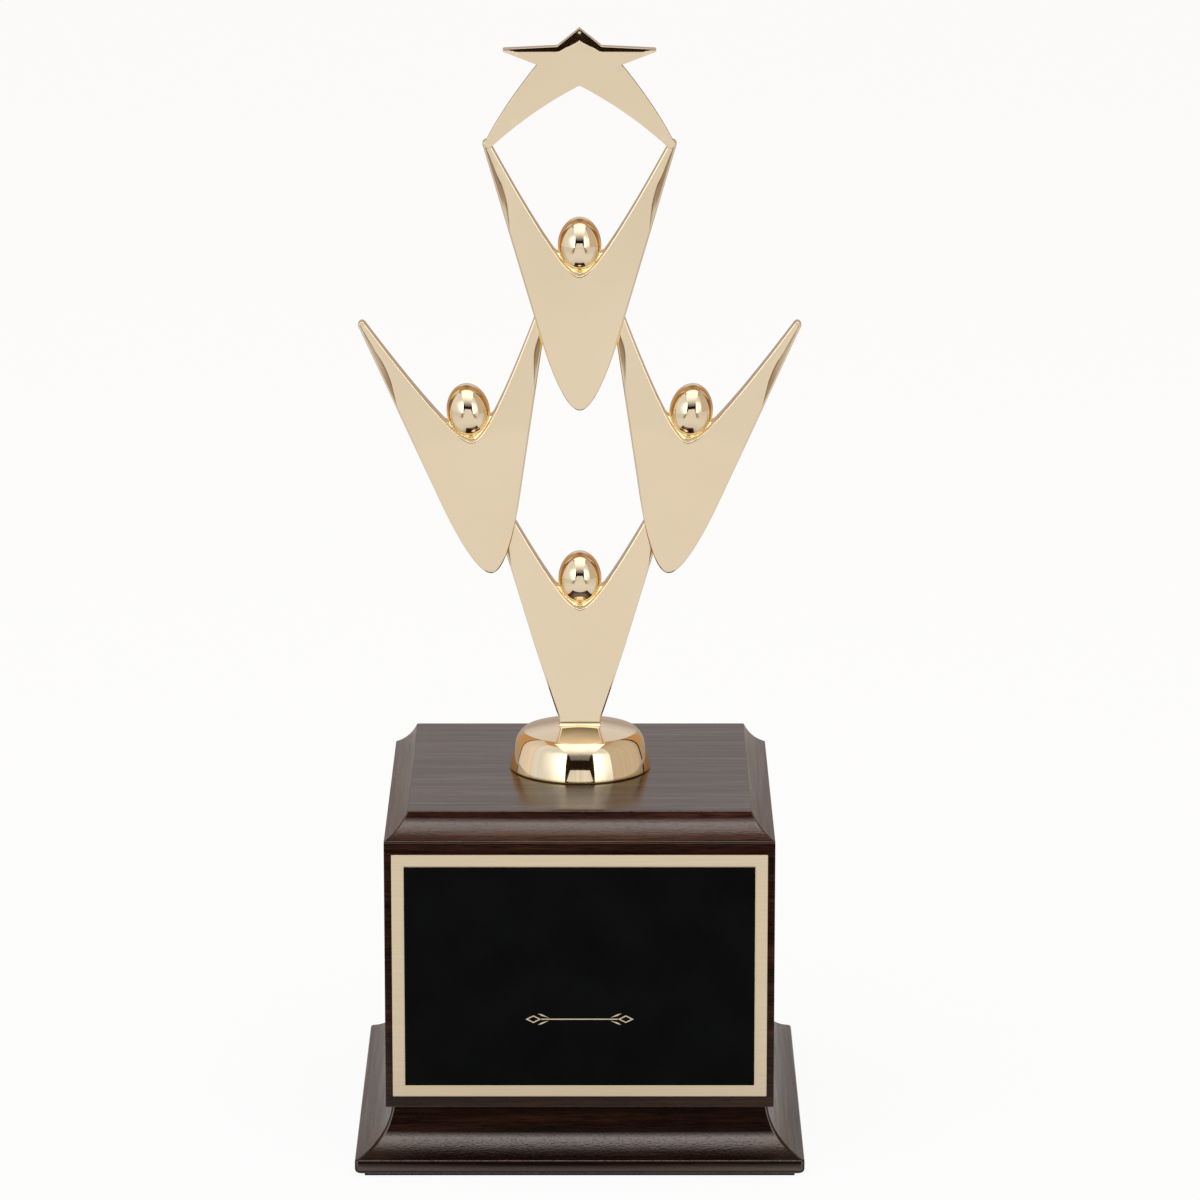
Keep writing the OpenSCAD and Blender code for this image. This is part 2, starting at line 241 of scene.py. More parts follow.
def divided(outline, spacing):
    """An outline with extra points along its long edges."""
    points = []
    for a, b in zip(outline, np.roll(outline, -1, axis=0)):
        parts = max(1, round(math.hypot(*(b - a)) / spacing))
        points += [a + (b - a) * i / parts for i in range(parts)]
    return np.array(points)


def outward(outline):
    """Outward direction at each point of an outline, long enough to keep its sides parallel when it moves."""
    edge = np.roll(outline, -1, axis=0) - outline
    after = np.stack([edge[:, 1], -edge[:, 0]], axis=1) / np.hypot(*edge.T)[:, None]
    before = np.roll(after, 1, axis=0)
    return (before + after) / (1 + (before * after).sum(1))[:, None]


def edge_distance(points, outline):
    """Distance from each point to the nearest edge of an outline."""
    nearest = np.full(len(points), np.inf)
    for a, b in zip(outline, np.roll(outline, -1, axis=0)):
        step = b - a
        t = np.clip((points - a) @ step / (step @ step), 0, 1)
        nearest = np.minimum(nearest, np.hypot(*(points - a - t[:, None] * step).T))
    return nearest


def inside(points, outline):
    """Which points lie inside an outline."""
    x, z = points.T
    odd = np.zeros(len(points), bool)
    for (ax, az), (bx, bz) in zip(outline, np.roll(outline, -1, axis=0)):
        if az != bz:
            odd ^= ((az > z) != (bz > z)) & (x < ax + (z - az) * (bx - ax) / (bz - az))
    return odd


def smooth_step(values, low, high):
    t = np.clip((values - low) / (high - low), 0, 1)
    return t * t * (3 - 2 * t)


# Meshes


def mesh_object(name, points, faces, smooth=True):
    """A new object from points in millimetres."""
    mesh = bpy.data.meshes.new(name)
    mesh.from_pydata([Vector(p) * MM for p in points], [], [list(map(int, f)) for f in faces])
    mesh.polygons.foreach_set("use_smooth", [smooth] * len(mesh.polygons))
    mesh.update()
    obj = bpy.data.objects.new(name, mesh)
    bpy.context.scene.collection.objects.link(obj)
    return obj


# Points across a rounded edge and across a bevel, as shares of its width
ROLL_STEPS = (0.015, 0.06, 0.14, 0.25, 0.4, 0.6, 0.8, 0.92, 1.0, 1.2)
FACET_STEPS = (0.3, 0.6, 0.75, 0.9, 1.0, 1.15)

# Width over which a bevel blends into the face, and width of the narrowest bevel, in millimetres
FACET_BLEND = 0.4
FACET_LEAST = 0.05

# Distances between the points along an edge and across a face, in millimetres
EDGE_SPACING = 0.7
FACE_SPACING = 2.5
WEB_SPACING = 0.5

# Least distances of points from the edge: of a ring, as a share of its depth, and of the points across a
# face, as shares of the rounded edge and of the bevel
RING_LEAST = 0.9
GRID_PAST_ROLL = 1.5
GRID_PAST_FACET = 1.2

# What a triangulation keeps, and the distance in millimetres within which it merges points
INSIDE_ONLY = 1
MERGE_DISTANCE = 1e-5


def facet_drop(distance, width, slope):
    """How far a bevel that blends into the flat face lies below it."""
    reach = np.clip(width - distance, 0, None)
    blended = reach**2 / (2 * FACET_BLEND)
    return math.tan(math.radians(slope)) * np.where(reach < FACET_BLEND, blended, reach - FACET_BLEND / 2)


def edge_rings(outline, roll, facet):
    """Points inside an outline along its rounded edge and, where it has one, along its bevel."""
    width, normal = facet(outline), outward(outline)
    everywhere, bevelled = width >= 0, width > FACET_LEAST
    depths = [(everywhere, np.full(len(outline), step * roll)) for step in ROLL_STEPS]
    depths += [(bevelled, roll + step * width) for step in FACET_STEPS]
    rings = []
    for wanted, depth in depths:
        ring = outline - normal * depth[:, None]
        clear = edge_distance(ring, outline) > RING_LEAST * depth
        rings.append(ring[wanted & inside(ring, outline) & clear])
    return np.concatenate(rings)


def inner_grid(outline, margin, spacing):
    """Even points inside an outline, away from its edge."""
    low, high = outline.min(0), outline.max(0)
    columns, rows = np.meshgrid(np.arange(low[0], high[0], spacing), np.arange(low[1], high[1], spacing))
    grid = np.stack([columns.ravel(), rows.ravel()], axis=1)
    grid = grid[inside(grid, outline)]
    return grid[edge_distance(grid, outline) > margin(grid)]


def polished_plate(name, outline, thickness, facet, slope, roll, drop, spacing=FACE_SPACING):
    """A standing plate with bevels and rounded edges.

    thickness and facet give its thickness and the width of its bevel at points of the outline's plane, and
    slope is the bevel's angle. The rounded edge is roll wide and drop deep.
    """
    outline = divided(outline, EDGE_SPACING)
    border = list(range(len(outline)))

    def margin(points):
        return GRID_PAST_ROLL * roll + GRID_PAST_FACET * facet(points)

    grid = inner_grid(outline, margin, spacing)
    points = np.concatenate([outline, edge_rings(outline, roll, facet), grid])
    made, _, faces, sources, _, _ = delaunay_2d_cdt(
        [Vector(p) for p in points], [], [border], INSIDE_ONLY, MERGE_DISTANCE
    )
    place = {source: i for i, group in enumerate(sources) for source in group}
    flat = np.array([tuple(p) for p in made])
    distance = edge_distance(flat, outline)
    u = np.clip(distance / roll, 0, 1)
    lowered = drop * (1 - np.sqrt(1 - (1 - u) ** 2)) + facet_drop(distance, facet(flat), slope)
    half = thickness(flat) / 2 - lowered
    front = np.stack([flat[:, 0], -half, flat[:, 1]], axis=1)
    back = np.stack([flat[:, 0], half, flat[:, 1]], axis=1)
    count = len(flat)
    ring = [place[i] for i in border]
    sides = [(b, a, a + count, b + count) for a, b in zip(ring, ring[1:] + ring[:1])]
    turned = [[i + count for i in reversed(face)] for face in faces]
    return mesh_object(name, np.concatenate([front, back]), [*faces, *turned, *sides])


def prism(name, outline, front, back):
    """A plain standing plate between two depths."""
    count = len(outline)
    points = [(x, y, z) for y in (front, back) for x, z in outline]
    sides = [((i + 1) % count, i, i + count, (i + 1) % count + count) for i in range(count)]
    ends = [range(count), range(2 * count - 1, count - 1, -1)]
    return mesh_object(name, points, [*ends, *sides], smooth=False)


def lathe(name, profile, steps):
    """A turned piece from a profile of (radius, height) that starts and ends on the axis."""
    rows = np.array(profile)[1:-1]
    angle = np.arange(steps) * 2 * math.pi / steps
    points = [(r * math.cos(a), r * math.sin(a), z) for r, z in rows for a in angle]
    points += [(0, 0, profile[0][1]), (0, 0, profile[-1][1])]
    faces = []
    for i in range(len(rows) - 1):
        for j in range(steps):
            k = (j + 1) % steps
            faces.append((i * steps + j, i * steps + k, (i + 1) * steps + k, (i + 1) * steps + j))
    bottom, top = len(points) - 2, len(points) - 1
    last = (len(rows) - 1) * steps
    for j in range(steps):
        k = (j + 1) % steps
        faces += [(bottom, k, j), (top, last + j, last + k)]
    return mesh_object(name, points, faces)


def ringed(name, rings):
    """A solid skinned over rings of points that lie above one another."""
    count = len(rings[0])
    faces = [range(count - 1, -1, -1), range((len(rings) - 1) * count, len(rings) * count)]
    for i in range(len(rings) - 1):
        for j in range(count):
            k = (j + 1) % count
            faces.append((i * count + j, i * count + k, (i + 1) * count + k, (i + 1) * count + j))
    return mesh_object(name, [p for ring in rings for p in ring], faces)


def cut(obj, *cutters):
    """Takes the cutters away from an object, and deletes them."""
    for cutter in cutters:
        step = obj.modifiers.new("lap", "BOOLEAN")
        step.operation = "DIFFERENCE"
        step.solver = "EXACT"
        step.object = cutter
        ready = obj.evaluated_get(bpy.context.evaluated_depsgraph_get())
        obj.data = bpy.data.meshes.new_from_object(ready)
        obj.modifiers.clear()
        bpy.data.objects.remove(cutter)


def joined(obj, *others):
    """Adds the meshes of other objects to an object."""
    with bpy.context.temp_override(active_object=obj, selected_editable_objects=[obj, *others]):
        bpy.ops.object.join()
    return obj


def moved(obj, at, angle=0):
    """Places a piece of the sculpture at a point above the foot disc, leaning by an angle."""
    place = Matrix.Translation(Vector((at[0], 0, Z_FIGURES + at[1])) * MM)
    obj.data.transform(place @ Matrix.Rotation(math.radians(angle), 4, "Y"))
    return obj


def make_piece(obj, material, slot, *nodes):
    """Makes an object a finished piece that takes the place of pieces of the construction."""
    obj.data.materials.clear()
    obj.data.materials.append(material)
    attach(obj, "root")
    if nodes:
        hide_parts(*nodes)


# Materials


def new_material(name):
    material = bpy.data.materials.new(name)
    material.use_nodes = True
    return material, material.node_tree, material.node_tree.nodes["Principled BSDF"]


def add(tree, kind, **inputs):
    """A node with some of its sockets set or linked; underscores stand for spaces in their names."""
    node = tree.nodes.new(kind)
    for name, value in inputs.items():
        connect(tree, value, node.inputs[name.replace("_", " ")])
    return node


def connect(tree, value, socket):
    if isinstance(value, bpy.types.NodeSocket):
        tree.links.new(value, socket)
    else:
        socket.default_value = value


def coordinates(tree, stretch):
    """Object coordinates in metres, multiplied along each axis."""
    place = add(tree, "ShaderNodeTexCoord").outputs["Object"]
    return add(tree, "ShaderNodeMapping", Vector=place, Scale=stretch).outputs["Vector"]


def noise(tree, vector, scale, detail=4.0, roughness=0.5):
    node = add(tree, "ShaderNodeTexNoise", Vector=vector, Scale=scale, Detail=detail, Roughness=roughness)
    return node.outputs["Fac"]


def ramp(tree, value, *stops):
    """Colours or greys at positions along a value."""
    node = add(tree, "ShaderNodeValToRGB", Fac=value)
    while len(node.color_ramp.elements) < len(stops):
        node.color_ramp.elements.new(0.5)
    for element, (position, colour) in zip(node.color_ramp.elements, stops):
        element.position = position
        element.color = (colour,) * 3 + (1,) if isinstance(colour, float) else (*colour, 1)
    return node.outputs["Color"]


def span(tree, value, low, high, to_low, to_high):
    node = add(tree, "ShaderNodeMapRange", Value=value)
    for name, number in (("From Min", low), ("From Max", high), ("To Min", to_low), ("To Max", to_high)):
        node.inputs[name].default_value = number
    return node.outputs["Result"]


def bump(tree, height, strength, distance):
    return add(tree, "ShaderNodeBump", Height=height, Strength=strength, Distance=distance).outputs["Normal"]


# Sockets of a mix node: its factor, its two colours and its resulting colour
MIX_FACTOR = 0
MIX_A = 6
MIX_B = 7
MIX_RESULT = 2


def mixed(tree, factor, a, b, blend="MIX"):
    node = tree.nodes.new("ShaderNodeMix")
    node.data_type = "RGBA"
    node.blend_type = blend
    for socket, value in ((MIX_FACTOR, factor), (MIX_A, a), (MIX_B, b)):
        connect(tree, value, node.inputs[socket])
    return node.outputs[MIX_RESULT]


def multiplied(tree, a, b):
    return mixed(tree, 1.0, a, b, "MULTIPLY")


def calculated(tree, operation, *values):
    """Result of an arithmetic operation on one or two values."""
    node = tree.nodes.new("ShaderNodeMath")
    node.operation = operation
    for value, socket in zip(values, node.inputs):
        connect(tree, value, socket)
    return node.outputs["Value"]


def length(tree, vector):
    node = tree.nodes.new("ShaderNodeVectorMath")
    node.operation = "LENGTH"
    connect(tree, vector, node.inputs[0])
    return node.outputs["Value"]


def polished_gold():
    """Mirror-polished pale gold plating: a faint haze, and a painted reflection that makes the crevices a
    brighter amber.
    """
    material, tree, shader = new_material("polished_gold")
    place = coordinates(tree, (1, 1, 1))
    plating = ramp(tree, noise(tree, place, 35.0), (0.3, (0.79, 0.645, 0.45)), (0.7, (0.815, 0.67, 0.475)))
    # Painted reflection: where ambient occlusion finds a crevice, the base colour turns a bright amber, which
    # stands in for gold reflected in gold
    openness = add(tree, "ShaderNodeAmbientOcclusion", Distance=0.004).outputs["AO"]
    depth = span(tree, openness, 0.45, 0.85, 1.0, 0.0)
    connect(tree, mixed(tree, depth, plating, (0.97, 0.74, 0.36, 1)), shader.inputs["Base Color"])
    shader.inputs["Metallic"].default_value = 1
    haze = noise(tree, place, 90.0, 5.0, 0.6)
    connect(tree, span(tree, haze, 0.3, 0.7, 0.03, 0.08), shader.inputs["Roughness"])
    wave = noise(tree, place, 45.0, 1.0)
    connect(tree, bump(tree, wave, 0.05, 0.0006), shader.inputs["Normal"])
    return material


def satin_gold():
    """Brushed gold plate with fine level strokes."""
    material, tree, shader = new_material("satin_gold")
    strokes = noise(tree, coordinates(tree, (12, 900, 900)), 3.0, 6.0, 0.7)
    colour = ramp(tree, strokes, (0.25, (0.68, 0.55, 0.375)), (0.75, (0.79, 0.655, 0.475)))
    connect(tree, colour, shader.inputs["Base Color"])
    shader.inputs["Metallic"].default_value = 1
    connect(tree, span(tree, strokes, 0.2, 0.8, 0.3, 0.45), shader.inputs["Roughness"])
    connect(tree, bump(tree, strokes, 0.15, 0.0001), shader.inputs["Normal"])
    return material


def black_lacquer():
    """Satin black lacquer with a fine orange-peel texture."""
    material, tree, shader = new_material("black_lacquer")
    place = coordinates(tree, (1, 1, 1))
    grain = noise(tree, place, 2600.0, 3.0)
    cloud = noise(tree, place, 60.0, 4.0)
    colour = ramp(tree, cloud, (0.3, (0.0022, 0.0024, 0.0023)), (0.7, (0.004, 0.0043, 0.0042)))
    connect(tree, colour, shader.inputs["Base Color"])
    connect(tree, span(tree, cloud, 0.3, 0.7, 0.34, 0.46), shader.inputs["Roughness"])
    shader.inputs["Specular IOR Level"].default_value = 0.02
    connect(tree, bump(tree, grain, 0.12, 0.00008), shader.inputs["Normal"])
    return material


WALNUT_TONES = ((0.3, (0.016, 0.0036, 0.0014)), (0.5, (0.04, 0.0115, 0.0055)), (0.72, (0.085, 0.03, 0.014)))
LACQUER_IOR = 1.9


def walnut(name, along, shade):
    """Dark walnut veneer under satin lacquer, with its grain along X or Y; shade lightens or darkens it."""
    material, tree, shader = new_material(name)

    def grain(lengthwise, crosswise, detail, roughness):
        stretch = [lengthwise if axis == along else crosswise for axis in "XYZ"]
        return noise(tree, coordinates(tree, stretch), 1.0, detail, roughness)

    band = grain(9, 230, 5.0, 0.65)
    streaks = grain(22, 950, 3.0, 0.6)
    pores = grain(140, 2400, 2.0, 0.5)
    skin = grain(900, 2200, 2.0, 0.5)
    tone = ramp(tree, band, *[(at, [shade * c for c in colour]) for at, colour in WALNUT_TONES])
    lines = multiplied(
        tree,
        ramp(tree, streaks, (0.35, 0.55), (0.65, 1.5)),
        ramp(tree, pores, (0.34, 0.4), (0.48, 1.0), (0.7, 1.3)),
    )
    connect(tree, multiplied(tree, tone, lines), shader.inputs["Base Color"])
    connect(tree, span(tree, pores, 0.3, 0.7, 0.14, 0.2), shader.inputs["Roughness"])
    lacquer(tree, shader, skin, streaks, band)
    return material


def two_way_walnut(name, shade):
    """The same walnut twice, with its grain along X and along Y."""
    return [walnut(name + along, along, shade) for along in "XY"]


def lacquer(tree, shader, skin, streaks, band):
    """Satin lacquer: a wrinkled skin, a warm gloss on slopes, and a film that shines at low angles."""
    normal = add(tree, "ShaderNodeNewGeometry").outputs["Normal"]
    upward = add(tree, "ShaderNodeSeparateXYZ", Vector=normal).outputs["Z"]
    relief = bump(tree, skin, span(tree, upward, 0.9, 1.0, 0.6, 0.12), 0.0003)
    facing = add(tree, "ShaderNodeLayerWeight", Blend=0.5).outputs["Facing"]
    gloss = ramp(
        tree, facing,
        (0.045, 0.02), (0.085, 0.7), (0.14, 0.55), (0.24, 0.15), (0.4, 0.06), (0.6, 0.1),
    )
    film = ramp(tree, facing, (0.5, 0.0), (0.74, 0.3))
    dulled = multiplied(
        tree,
        ramp(tree, streaks, (0.35, 0.34), (0.65, 1.2)),
        ramp(tree, band, (0.35, 0.62), (0.65, 1.16)),
    )
    connect(tree, relief, shader.inputs["Normal"])
    connect(tree, relief, shader.inputs["Coat Normal"])
    connect(tree, gloss, shader.inputs["Specular IOR Level"])
    connect(tree, multiplied(tree, film, dulled), shader.inputs["Coat Weight"])
    shader.inputs["Specular Tint"].default_value = (1, 0.84, 0.75, 1)
    shader.inputs["Coat Roughness"].default_value = 0.15
    shader.inputs["IOR"].default_value = LACQUER_IOR
    shader.inputs["Coat IOR"].default_value = LACQUER_IOR


def felt():
    """Black felt with short matted fibres."""
    material, tree, shader = new_material("felt")
    fibres = noise(tree, coordinates(tree, (1, 1, 1)), 900.0, 8.0, 0.8)
    connect(tree, ramp(tree, fibres, (0.3, 0.004), (0.7, 0.022)), shader.inputs["Base Color"])
    shader.inputs["Roughness"].default_value = 0.95
    shader.inputs["Sheen Weight"].default_value = 0.4
    connect(tree, bump(tree, fibres, 0.6, 0.0004), shader.inputs["Normal"])
    return material


def zinc_steel():
    """Zinc-plated steel with a cloudy surface."""
    material, tree, shader = new_material("zinc_steel")
    cloud = noise(tree, coordinates(tree, (1, 1, 1)), 220.0, 5.0, 0.6)
    colour = ramp(tree, cloud, (0.3, (0.5, 0.51, 0.53)), (0.7, (0.66, 0.67, 0.68)))
    connect(tree, colour, shader.inputs["Base Color"])
    shader.inputs["Metallic"].default_value = 1
    connect(tree, span(tree, cloud, 0.3, 0.7, 0.28, 0.5), shader.inputs["Roughness"])
    return material


def pine():
    """Bare softwood with upright grain."""
    material, tree, shader = new_material("pine")
    grain = noise(tree, coordinates(tree, (160, 160, 6)), 2.0, 5.0, 0.6)
    colour = ramp(tree, grain, (0.3, (0.36, 0.2, 0.08)), (0.7, (0.58, 0.37, 0.17)))
    connect(tree, colour, shader.inputs["Base Color"])
    shader.inputs["Roughness"].default_value = 0.75
    connect(tree, bump(tree, grain, 0.3, 0.0002), shader.inputs["Normal"])
    return material


def foam_tape():
    """White foam tape with small cells."""
    material, tree, shader = new_material("foam_tape")
    cells = noise(tree, coordinates(tree, (1, 1, 1)), 1800.0, 3.0)
    connect(tree, ramp(tree, cells, (0.3, 0.6), (0.7, 0.8)), shader.inputs["Base Color"])
    shader.inputs["Roughness"].default_value = 0.8
    connect(tree, bump(tree, cells, 0.4, 0.0002), shader.inputs["Normal"])
    return material


GOLD = polished_gold()
SATIN = satin_gold()
BLACK = black_lacquer()
# Cap, walls and plinth take the walnut at three tones. These are partly the boards' own stain; the plinth's
# darkest tone is also painted shade for the shadow under the box's overhang
CAP_WOOD = two_way_walnut("walnut_cap_", 0.62)
WALL_WOOD = two_way_walnut("walnut_wall_", 0.48)
PLINTH_WOOD = two_way_walnut("walnut_plinth_", 0.27)
FELT = felt()
STEEL = zinc_steel()
PINE = pine()
TAPE = foam_tape()


# Sculpture

SHARP_ANGLE = math.radians(40)


def even(value):
    """The same value at every point."""
    return lambda points: np.full(len(points), float(value))


def figure_thickness(points):
    swell = np.interp(points[:, 1], [0, WAIST_Z, NOTCH_Z, FIGURE_H], [0, 1, 1, 0])
    return HAND_T + (FIGURE_T - HAND_T) * swell


def standing_thickness(points):
    swell = np.interp(points[:, 1], [NOTCH_Z, FIGURE_H], [1, 0])
    return HAND_T + (FIGURE_T - HAND_T) * swell


def star_facet(points):
    """Bevel along the upper edges of the star, widest at the apex and fading to the arm tips."""
    x, z = np.abs(points[:, 0]), points[:, 1]
    low, high = STAR_FACET_BELOW_ARM
    upper = smooth_step(z, STAR_ARM[1] - low, STAR_ARM[1] - high)
    along_arm = STAR_FACET_GROWTH * (1 - x / STAR_ARM[0])
    at_apex = STAR_APEX_FACET_W * np.exp(-((x / STAR_APEX_REACH) ** 2))
    return upper * (STAR_FACET_W + along_arm + at_apex)


def figure_facet(drop):
    """Bevel along the notch, and on the outer half of each arm below its hand, all lowered by drop."""
    palm, notch = HAND - [0, drop], np.array([0, NOTCH_Z - drop])
    down = (SHOULDER + [NOTCH_HALF / 2, NOTCH_Z]) / 2 - HAND
    down /= math.hypot(*down)

    def width(points):
        at_notch = np.exp(-((np.hypot(*(points - notch).T) / NOTCH_FACET_REACH) ** 2))
        from_palm = np.abs(points) * [1, 0] + points * [0, 1] - palm
        away = np.hypot(*from_palm.T)
        outer = smooth_step(down[0] * from_palm[:, 1] - down[1] * from_palm[:, 0], *ARM_FACET_START)
        on_arm = outer * (ARM_FACET_W + ARM_FACET_GROWTH * away) * (1 - smooth_step(away, *ARM_FACET_FADE))
        return np.maximum(at_notch, on_arm)

    return width


def lap(outline, side, at, angle=0):
    """The front (-1) or back (1) half of a lap joint that another outline takes up."""
    grown = outline + outward(outline) * FIT
    near, far = -side * FIT / 2, side * FIGURE_T
    return moved(prism("lap", grown, min(near, far), max(near, far)), at, angle)


def web(drop):
    """Hollow web in the notch between the arms, which carries the head."""
    wall = arm(SHOULDER, drop)[::-1]
    wall = wall[: np.argmax(wall[:, 1] > NOTCH_Z - drop + WEB_H)]
    seat = np.array([HEAD_W / 2 - WEB_UNDER_HEAD, wall[-1][1] - WEB_FALL])
    dip = (wall[-1] + seat) / 2 - [0, WEB_DIP]
    outline = both_sides([wall, bow(wall[-1], dip, seat, steps=6)])

    def hollow(points):
        depth = smooth_step(edge_distance(points, both_sides([wall])), 0, WEB_SLOPE_W)
        return WEB_RIM_T + (WEB_T - WEB_RIM_T) * depth

    no_facet = even(0)
    return polished_plate("web", outline, hollow, no_facet, 0, WEB_BORDER, 0, WEB_SPACING)


def head(name, drop, at, angle=0):
    """Egg-shaped head that sits in the web."""
    middle = NOTCH_Z - drop + HEAD_GAP + HEAD_H / 2
    angles = np.radians(np.linspace(-90, 90, EGG_ROWS))
    radius = HEAD_W / 2 * np.cos(angles) * (1 - EGG_TAPER * np.sin(angles))
    height = middle + HEAD_H / 2 * np.sin(angles)
    egg = lathe(name, list(zip(radius, height)), EGG_STEPS)
    make_piece(moved(egg, at, angle), GOLD, "polished_gold", name)


def figure(name, outline, thickness, drop, at, angle, laps, extra=()):
    """Body of a figure with its web, cut back where it laps with its neighbours."""
    facet = figure_facet(drop)
    body = polished_plate(name, outline, thickness, facet, FIGURE_SLOPE, FIGURE_EDGE, FIGURE_EDGE)
    moved(body, at, angle)
    cut(body, *laps)
    joined(body, moved(web(drop), at, angle), *extra)
    body.data.set_sharp_from_angle(angle=SHARP_ANGLE)
    make_piece(body, GOLD, "polished_gold", name)


def collar():
    """Flared foot of the bottom figure, hollow towards the disc."""
    rings = []
    for grown, z in cove(FLARE_W, FLARE_H, FLARE_W, FLARE_H, FLARE_TURN):
        x, y = STANDING_HALF + grown, FIGURE_T / 2 + grown
        corners = np.array([(x, -y), (x, y), (-x, y), (-x, -y)])
        rings.append([(*corner, z) for corner in divided(corners, FLARE_SPACING)])
    return moved(ringed("collar", rings), (0, 0))


def make_sculpture():
    plain, standing, star = figure_outline(), standing_outline(), star_outline()
    left_at, right_at = SIDE_AT * [-1, 1], SIDE_AT
    figure("top_figure", plain, figure_thickness, 0, TOP_AT, 0, [
        lap(star, -1, STAR_AT), lap(plain, 1, left_at, -LEAN), lap(plain, 1, right_at, LEAN),
    ])
    figure("left_figure", plain, figure_thickness, 0, left_at, -LEAN, [
        lap(plain, -1, TOP_AT), lap(standing, 1, (0, 0)),
    ])
    figure("right_figure", plain, figure_thickness, 0, right_at, LEAN, [
        lap(plain, -1, TOP_AT), lap(standing, 1, (0, 0)),
    ])
    figure("bottom_figure", standing, standing_thickness, STANDING_DROP, (0, 0), 0, [
        lap(plain, -1, left_at, -LEAN), lap(plain, -1, right_at, LEAN),
    ], [collar()])
    piece = polished_plate("star", star, even(HAND_T), star_facet, STAR_SLOPE, STAR_EDGE, STAR_EDGE)
    cut(moved(piece, STAR_AT), lap(plain, 1, TOP_AT))
    piece.data.set_sharp_from_angle(angle=SHARP_ANGLE)
    make_piece(piece, GOLD, "polished_gold", "star")
    head("top_head", 0, TOP_AT)
    head("left_head", 0, left_at, -LEAN)
    head("right_head", 0, right_at, LEAN)
    head("bottom_head", STANDING_DROP, (0, 0))


def and_arc(points, radius, start, end):
    """A line of points that goes on in an arc."""
    a = math.radians(start)
    centre = points[-1] - radius * np.array([math.cos(a), math.sin(a)])
    return np.concatenate([points, arc(centre, radius, start, end)[1:]])


def make_foot():
    """Round foot: a gently swelling side, a rounder shoulder, a tight corner and a shallow dome."""
    low, side, shoulder, corner = DISC_TURNS
    rise = np.diff(np.sin(np.radians(DISC_TURNS)))
    swell_h = DISC_H + SEAT_DEPTH - DOME_RISE - DISC_SHOULDER_R * rise[1] - DISC_CORNER_R * rise[2]
    profile = and_arc(np.array([[DISC_R, 0]]), swell_h / rise[0], low, side)
    profile = and_arc(profile, DISC_SHOULDER_R, side, shoulder)
    profile = and_arc(profile, DISC_CORNER_R, shoulder, corner)
    dome_half = profile[-1][0]
    dome_r = (dome_half**2 + DOME_RISE**2) / (2 * DOME_RISE)
    profile = and_arc(profile, dome_r, math.degrees(math.acos(dome_half / dome_r)), 90)
    edge = [(0, 0), (DISC_R - FLAT_RIM, 0), (DISC_R - DISC_EDGE, 0), (DISC_R - DISC_EDGE / 4, DISC_EDGE / 3)]
    profile = np.concatenate([edge, profile[profile[:, 1] > DISC_EDGE]])
    turned = lathe("foot_disc", profile + [0, Z_TOP], DISC_STEPS)
    make_piece(turned, GOLD, "polished_gold", "foot_disc")


# Wood base

WOOD_SHARP_ANGLE = math.radians(50)

# Upward part of the normal above which a face counts as level
LEVEL_LEAST = 0.99

# Cosine below which a corner of a profile is straight enough to stay as it is
STRAIGHT_MOST = -0.9

# Distance within which the corners of a piece of the construction are merged, in metres
WELD_DISTANCE = 0.00001


def rounded_corners(points, radius):
    """A profile with its sharp corners turned into small curves."""
    points = [np.array(p, float) for p in points]
    out = [points[0]]
    for a, b, c in zip(points, points[1:], points[2:]):
        before, after = (a - b) / math.hypot(*(a - b)), (c - b) / math.hypot(*(c - b))
        if before @ after < STRAIGHT_MOST:
            out.append(b)
        else:
            start, end = b + before * radius, b + after * radius
            out += [start, *bow(start, b, end, steps=4)]
    return [*out, points[-1]]


def square_ring(half, radius, z):
    """Points of a square with round corners, at one height."""
    points = []
    for turn, sides in enumerate([(1, 1), (-1, 1), (-1, -1), (1, -1)]):
        corner = (half - radius) * np.array(sides)
        points += [(x, y, z) for x, y in arc(corner, radius, 90 * turn, 90 * turn + 90, steps=4)]
    return points


def moulding(name, profile, corner, wood):
    """A square board with the same moulding on its four sides and the grain along each side."""
    obj = ringed(name, [square_ring(half, corner, z) for half, z in profile])
    make_piece(obj, wood[0], "walnut", name)
    obj.data.materials.append(wood[1])
    for face in obj.data.polygons:
        x, y, z = (abs(part) for part in face.normal)
        face.material_index = int(x > y and z < LEVEL_LEAST)
    obj.data.set_sharp_from_angle(angle=WOOD_SHARP_ANGLE)


def make_base():
    half = PLINTH_W / 2
    hollow = cove(half, Z_BOX, PLINTH_COVE, PLINTH_T - PLINTH_LIP, PLINTH_TURN)
    foot = arc((half - PLINTH_FOOT_R, FELT_T + PLINTH_FOOT_R), PLINTH_FOOT_R, -90, 0, steps=6)
    profile = [(half - FLAT_RIM, FELT_T), *foot, *hollow, (half - PLINTH_COVE - FLAT_RIM, Z_BOX)]
    moulding("plinth_board", rounded_corners(profile, PLINTH_EDGE_R), PLINTH_CORNER_R, PLINTH_WOOD)
    half = BOX_W / 2
    hollow = cove(half, Z_TOP, CAP_COVE, CAP_H - CAP_LIP, CAP_TURN)
    profile = [(half - FLAT_RIM, Z_CAP), (half, Z_CAP), *hollow, (half - CAP_COVE - FLAT_RIM, Z_TOP)]
    moulding("top_board", rounded_corners(profile, CAP_EDGE_R), CAP_CORNER_R, CAP_WOOD)
    for name, material in zip(("front_wall", "left_wall", "back_wall", "right_wall"), WALL_WOOD * 2):
        dress(name, material)
        soften(name, WALL_EDGE)


def dress(name, material):
    """Gives a piece of the construction a material."""
    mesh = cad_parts[name].data
    mesh.materials.clear()
    mesh.materials.append(material)


